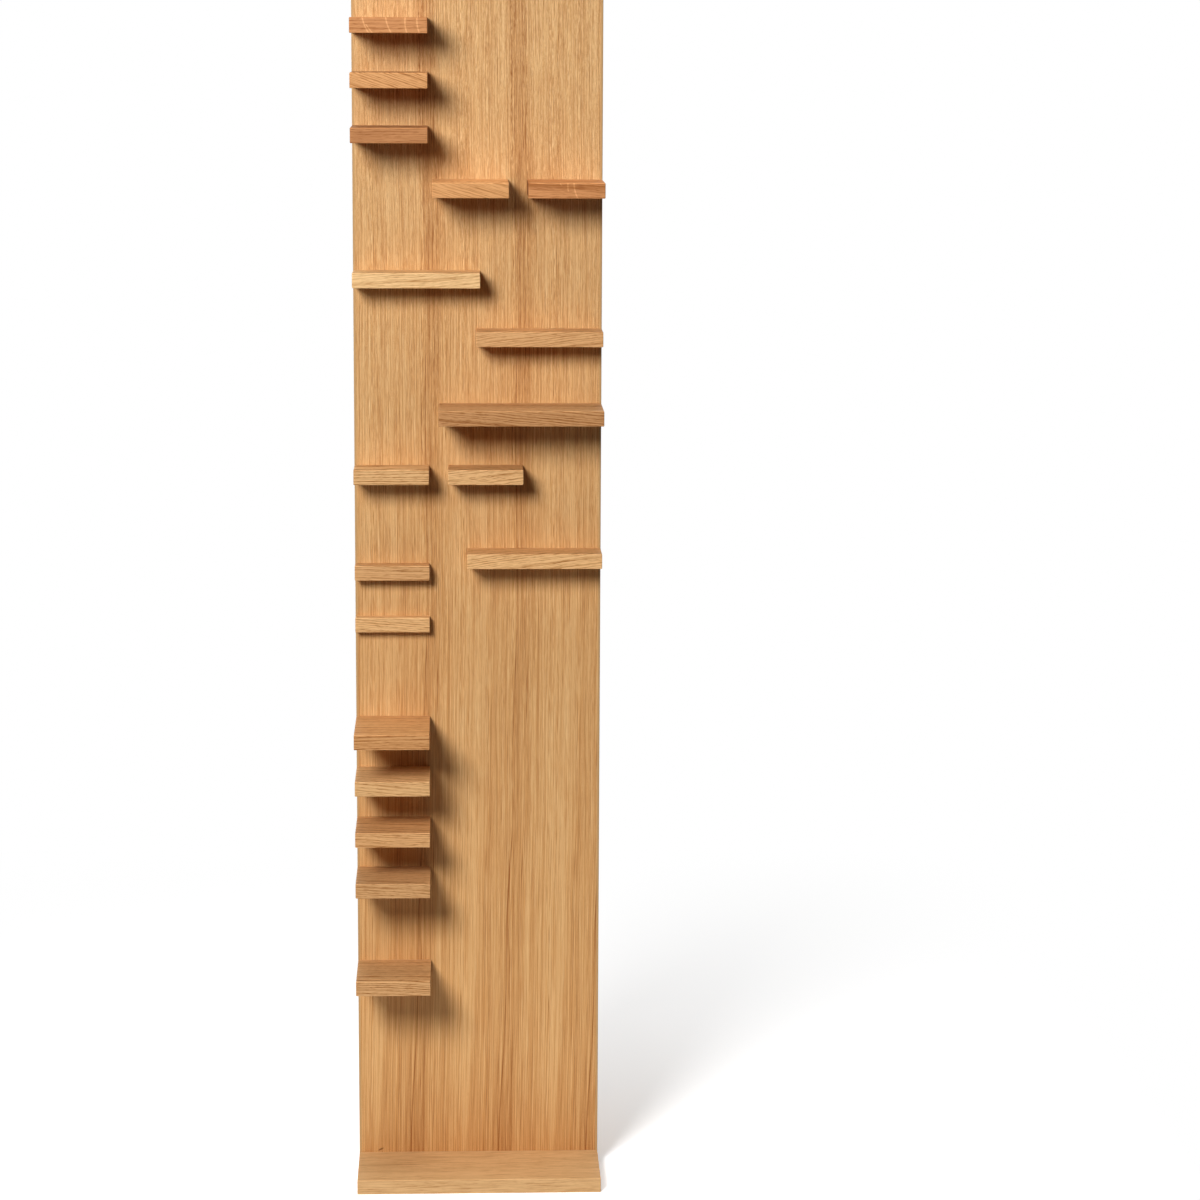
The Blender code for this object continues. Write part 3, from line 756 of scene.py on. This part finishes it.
def screw_mesh(length, head, screws):
    """A countersunk wood screw along -Y with its head's face at 0: cross recess, plain neck, then thread down
    to the point. Lengths are in mm, and the head is given by its radius."""
    bm = bmesh.new()
    sides = 10
    face = head - 0.15
    edge = head - 0.08
    edge_depth = 0.12
    arm = screws.recess_width / MM / 2
    arm_half = 0.28 * arm
    floor_arm = 0.5 * arm
    floor_half = 0.17 * arm
    recess_depth = 1.9
    crest = screws.thread_width / MM / 2
    neck = 0.73 * crest
    core = 0.64 * crest
    pitch = screws.thread_pitch / MM
    thread = 0.6 * length
    point = 4.0
    tip_core = 0.2
    tip_crest = 0.45

    # The thread's ridge spreads over this share of a turn to either side of its crest.
    ridge_half = 0.2

    def loop(places):
        return [bm.verts.new((x * MM, -depth * MM, z * MM)) for x, depth, z in places]

    def circle(radius, depth, count):
        turns = [2 * pi * step / count for step in range(count)]
        return loop((radius * cos(turn), depth, radius * sin(turn)) for turn in turns)

    def cross(reach, half, depth):
        quarter = ((reach, -half), (reach, half), (half, half))
        turned = ((1, 0), (0, 1), (-1, 0), (0, -1))
        return loop((x * c - z * d, depth, x * d + z * c) for c, d in turned for x, z in quarter)

    def skin(upper, lower):
        for i in range(len(upper)):
            bm.faces.new((upper[i - 1], upper[i], lower[i], lower[i - 1]))

    # Head, with the cross recess sunk into its face
    rim = circle(face, 0.0, 2 * sides)
    mouth = cross(arm, arm_half, 0.0)
    edges = [bm.edges.new((ring[i - 1], ring[i])) for ring in (rim, mouth) for i in range(len(ring))]
    bmesh.ops.triangle_fill(bm, edges=edges, use_beauty=True)
    floor = cross(floor_arm, floor_half, recess_depth)
    skin(mouth, floor)
    bm.faces.new(floor)
    side = circle(edge, edge_depth, 2 * sides)
    skin(rim, side)
    under = circle(neck, edge_depth + edge - neck, 2 * sides)
    skin(side, under)

    # Neck, with half as many sides
    last = circle(neck, length - thread - pitch / sides, sides)
    for i in range(sides):
        bm.faces.new((under[2 * i - 1], under[2 * i], last[i]))
        bm.faces.new((under[2 * i - 2], under[2 * i - 1], last[i], last[i - 1]))

    # Thread: a ridge that moves round by one side with each ring, and grows over the first turn
    for ring in range(int(thread / pitch * sides) + 1):
        depth = length - thread + ring * pitch / sides
        taper = min(1.0, (length - depth) / point)
        root = tip_core + (core - tip_core) * taper
        top = tip_crest + (crest - tip_crest) * taper
        places = []
        for i in range(sides):
            from_crest = abs((ring - i) % sides / sides - 0.5)
            ridge = max(0.0, 1 - from_crest / ridge_half) * min(1.0, ring / sides)
            radius = root + (top - root) * ridge
            turn = 2 * pi * i / sides
            places.append((radius * cos(turn), depth, radius * sin(turn)))
        lower = loop(places)
        skin(last, lower)
        last = lower
    bm.faces.new(last)

    bmesh.ops.recalc_face_normals(bm, faces=bm.faces)
    mesh = bpy.data.meshes.new(f"wood_screw_{length:.0f}_mm")
    bm.to_mesh(mesh)
    bm.free()
    mesh.shade_smooth()
    mesh.set_sharp_from_angle(angle=radians(40))
    return mesh


# Stage


def seen_directly(tree):
    """1 for rays from the camera and through mirrors and glass, and 0 for those that light a surface."""
    path = add_node(tree, "ShaderNodeLightPath")
    seen = add_node(tree, "ShaderNodeMath", {0: path["Is Camera Ray"], 1: path["Is Glossy Ray"]})
    return add_node(tree, "ShaderNodeMath", {0: seen[0], 1: path["Is Transmission Ray"]}, use_clamp=True)[0]


def studio_floor(stage):
    """White studio floor, rolled matt and lit until it burns out: plain white, with the shelf's soft shadow
    on it, which pales towards the back and the sides."""
    material, tree, _ = new_material("matt_white_studio_floor")
    tree.nodes.clear()
    where = add_node(tree, "ShaderNodeTexCoord")["Object"]
    place = add_node(tree, "ShaderNodeSeparateXYZ", {0: where})
    near, far = stage.shadow_back
    behind = {"Value": place["Y"], "From Min": near, "From Max": far, "To Min": stage.shadow, "To Max": 0.0}
    backward = add_node(tree, "ShaderNodeMapRange", behind)
    apart = add_node(tree, "ShaderNodeMath", {0: place["X"]}, operation="ABSOLUTE")
    near, far = stage.shadow_side
    beside = {"Value": apart[0], "From Min": near, "From Max": far, "To Min": 1.0, "To Max": 0.0}
    sideways = add_node(tree, "ShaderNodeMapRange", beside)
    shade = add_node(tree, "ShaderNodeMath", {0: backward[0], 1: sideways[0]}, operation="MULTIPLY")[0]

    # The lamps light the floor to about half of white, so the part that takes shadow is twice as bright.
    rest = add_node(tree, "ShaderNodeMath", {0: 1.0, 1: shade}, operation="SUBTRACT")
    glow = add_node(tree, "ShaderNodeEmission", {"Color": WHITE, "Strength": rest[0]})
    lit = add_node(tree, "ShaderNodeMath", {0: shade, 1: 2.0}, operation="MULTIPLY")
    shadow = add_node(tree, "ShaderNodeBsdfDiffuse", {"Color": lit[0]})
    shown = add_node(tree, "ShaderNodeAddShader", {0: glow[0], 1: shadow[0]})
    bounce = add_node(tree, "ShaderNodeEmission", {"Color": WHITE, "Strength": stage.bounce})
    mixed = add_node(tree, "ShaderNodeMixShader", {0: seen_directly(tree), 1: bounce[0], 2: shown[0]})
    add_node(tree, "ShaderNodeOutputMaterial", {"Surface": mixed[0]})
    return material


def lay_floor(scene, stage):
    """The floor that the shelf stands on."""
    left, right = stage.floor_sides
    front, back = stage.floor_ends
    bm = bmesh.new()
    corners = ((left, front), (right, front), (right, back), (left, back))
    bm.faces.new(bm.verts.new((x, y, 0)) for x, y in corners)
    mesh = bpy.data.meshes.new("floor")
    bm.to_mesh(mesh)
    bm.free()
    floor = bpy.data.objects.new("floor", mesh)
    scene.collection.objects.link(floor)
    mesh.materials.append(studio_floor(stage))


def hang_backdrop(scene):
    """A white backdrop all round, which is seen and mirrored and lights nothing."""
    world = bpy.data.worlds.new("studio")
    world.use_nodes = True
    scene.world = world
    tree = world.node_tree
    tree.nodes.clear()
    white = add_node(tree, "ShaderNodeBackground", {"Color": WHITE, "Strength": seen_directly(tree)})
    add_node(tree, "ShaderNodeOutputWorld", {"Surface": white[0]})


def add_lamp(scene, name, place, target, size, power):
    """A soft oval lamp that points at a target."""
    lamp = bpy.data.lights.new(name, "AREA")
    lamp.shape = "ELLIPSE"
    lamp.size, lamp.size_y = size
    lamp.energy = power
    light = bpy.data.objects.new(name, lamp)
    scene.collection.objects.link(light)
    light.location = place
    aim = Vector(target) - Vector(place)
    light.rotation_euler = aim.to_track_quat("-Z", "Y").to_euler()
    return light


def light_shelf(scene, stage):
    """The key lamp on the left, the lamp overhead and the lamp behind."""
    add_lamp(scene, "key", stage.key_place, stage.key_target, stage.key_size, stage.key_power)
    add_lamp(scene, "top", stage.top_place, stage.key_target, stage.top_size, stage.top_power)

    # The lamp behind stands low, so that it lights the panel's back and hardly the floor, and it isn't
    # mirrored in the bright heads of the screws.
    back = add_lamp(scene, "back", stage.back_place, stage.back_target, stage.back_size, stage.back_power)
    back.data.spread = stage.back_beam
    back.visible_glossy = False


def set_camera(scene, stage):
    """The camera, which looks at the shelf from the front, a little from above."""
    eye = bpy.data.cameras.new("camera")
    eye.lens = stage.lens
    eye.sensor_width = 36.0
    eye.clip_end = 100.0
    camera = bpy.data.objects.new("camera", eye)
    scene.collection.objects.link(camera)
    turn = Matrix.Rotation(-stage.camera_turn, 4, "Z")
    pitch = Matrix.Rotation(pi / 2 - stage.camera_pitch, 4, "X")
    roll = Matrix.Rotation(stage.camera_roll, 4, "Z")
    camera.matrix_world = Matrix.Translation(stage.camera_place) @ turn @ pitch @ roll
    scene.camera = camera


# Operators


class SHELF_OT_finish_panel(bpy.types.Operator):
    """Finish the back panel in slip-matched oak veneer"""

    bl_idname = "shelf.finish_panel"
    bl_label = "Finish Panel"

    def execute(self, context):
        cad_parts["back_panel"].material_slots[0].material = oak_veneer(context.scene.shelf_veneer)
        return {"FINISHED"}


class SHELF_OT_finish_boards(bpy.types.Operator):
    """Finish the ledges and the base board in solid oak, each cut from its own place in the log"""

    bl_idname = "shelf.finish_boards"
    bl_label = "Finish Boards"

    def execute(self, context):
        oak = context.scene.shelf_oak
        figure = oak_figure(oak)
        for node, cut in CUTS.items():
            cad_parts[node].material_slots[0].material = solid_oak(node, cut, figure, oak)
        return {"FINISHED"}


class SHELF_OT_drive_screws(bpy.types.Operator):
    """Drive threaded, zinc-plated screws in place of the plain ones"""

    bl_idname = "shelf.drive_screws"
    bl_label = "Drive Screws"

    def execute(self, context):
        screws = context.scene.shelf_screws
        zinc = zinc_plate(screws)
        meshes = {}
        for number, node in enumerate(SCREWS):
            low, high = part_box(node)
            size = (high - low) / MM
            length = round(size.y, 1)
            if length not in meshes:
                meshes[length] = screw_mesh(length, size.x / 2, screws)
                meshes[length].materials.append(zinc)
            screw = bpy.data.objects.new(f"threaded_{node}", meshes[length])
            context.scene.collection.objects.link(screw)
            middle = (low + high) / 2
            screw.location = (middle.x, high.y, middle.z)
            screw.rotation_euler.y = number * screws.turn
            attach(screw, "root")
            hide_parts(node)
        return {"FINISHED"}


class SHELF_OT_set_stage(bpy.types.Operator):
    """Set up the floor, the backdrop, the lamps and the camera"""

    bl_idname = "shelf.set_stage"
    bl_label = "Set Stage"

    def execute(self, context):
        scene = context.scene
        scene.view_settings.view_transform = "Standard"
        lay_floor(scene, scene.shelf_stage)
        hang_backdrop(scene)
        light_shelf(scene, scene.shelf_stage)
        set_camera(scene, scene.shelf_stage)
        return {"FINISHED"}


# Each step's settings, by their name in the scene, with their group and their operator
STEPS = (
    ("shelf_veneer", VeneerProperties, SHELF_OT_finish_panel),
    ("shelf_oak", SolidOakProperties, SHELF_OT_finish_boards),
    ("shelf_screws", ScrewProperties, SHELF_OT_drive_screws),
    ("shelf_stage", StageProperties, SHELF_OT_set_stage),
)


class SHELF_PT_sidebar(bpy.types.Panel):
    """Lists the shelf's settings and steps"""

    bl_idname = "SHELF_PT_sidebar"
    bl_label = "Oak Wall Shelf"
    bl_space_type = "VIEW_3D"
    bl_region_type = "UI"
    bl_category = "Shelf"

    def draw(self, context):
        for settings, group, operator in STEPS:
            box = self.layout.box()
            for name in group.__annotations__:
                box.prop(getattr(context.scene, settings), name)
            box.operator(operator.bl_idname)


def register():
    for settings, group, operator in STEPS:
        bpy.utils.register_class(group)
        bpy.utils.register_class(operator)
        setattr(bpy.types.Scene, settings, PointerProperty(type=group))
    bpy.utils.register_class(SHELF_PT_sidebar)


def unregister():
    bpy.utils.unregister_class(SHELF_PT_sidebar)
    for settings, group, operator in reversed(STEPS):
        delattr(bpy.types.Scene, settings)
        bpy.utils.unregister_class(operator)
        bpy.utils.unregister_class(group)


def main():
    register()
    bpy.ops.shelf.finish_panel()
    bpy.ops.shelf.finish_boards()
    bpy.ops.shelf.drive_screws()
    bpy.ops.shelf.set_stage()


if __name__ == "__main__":
    main()
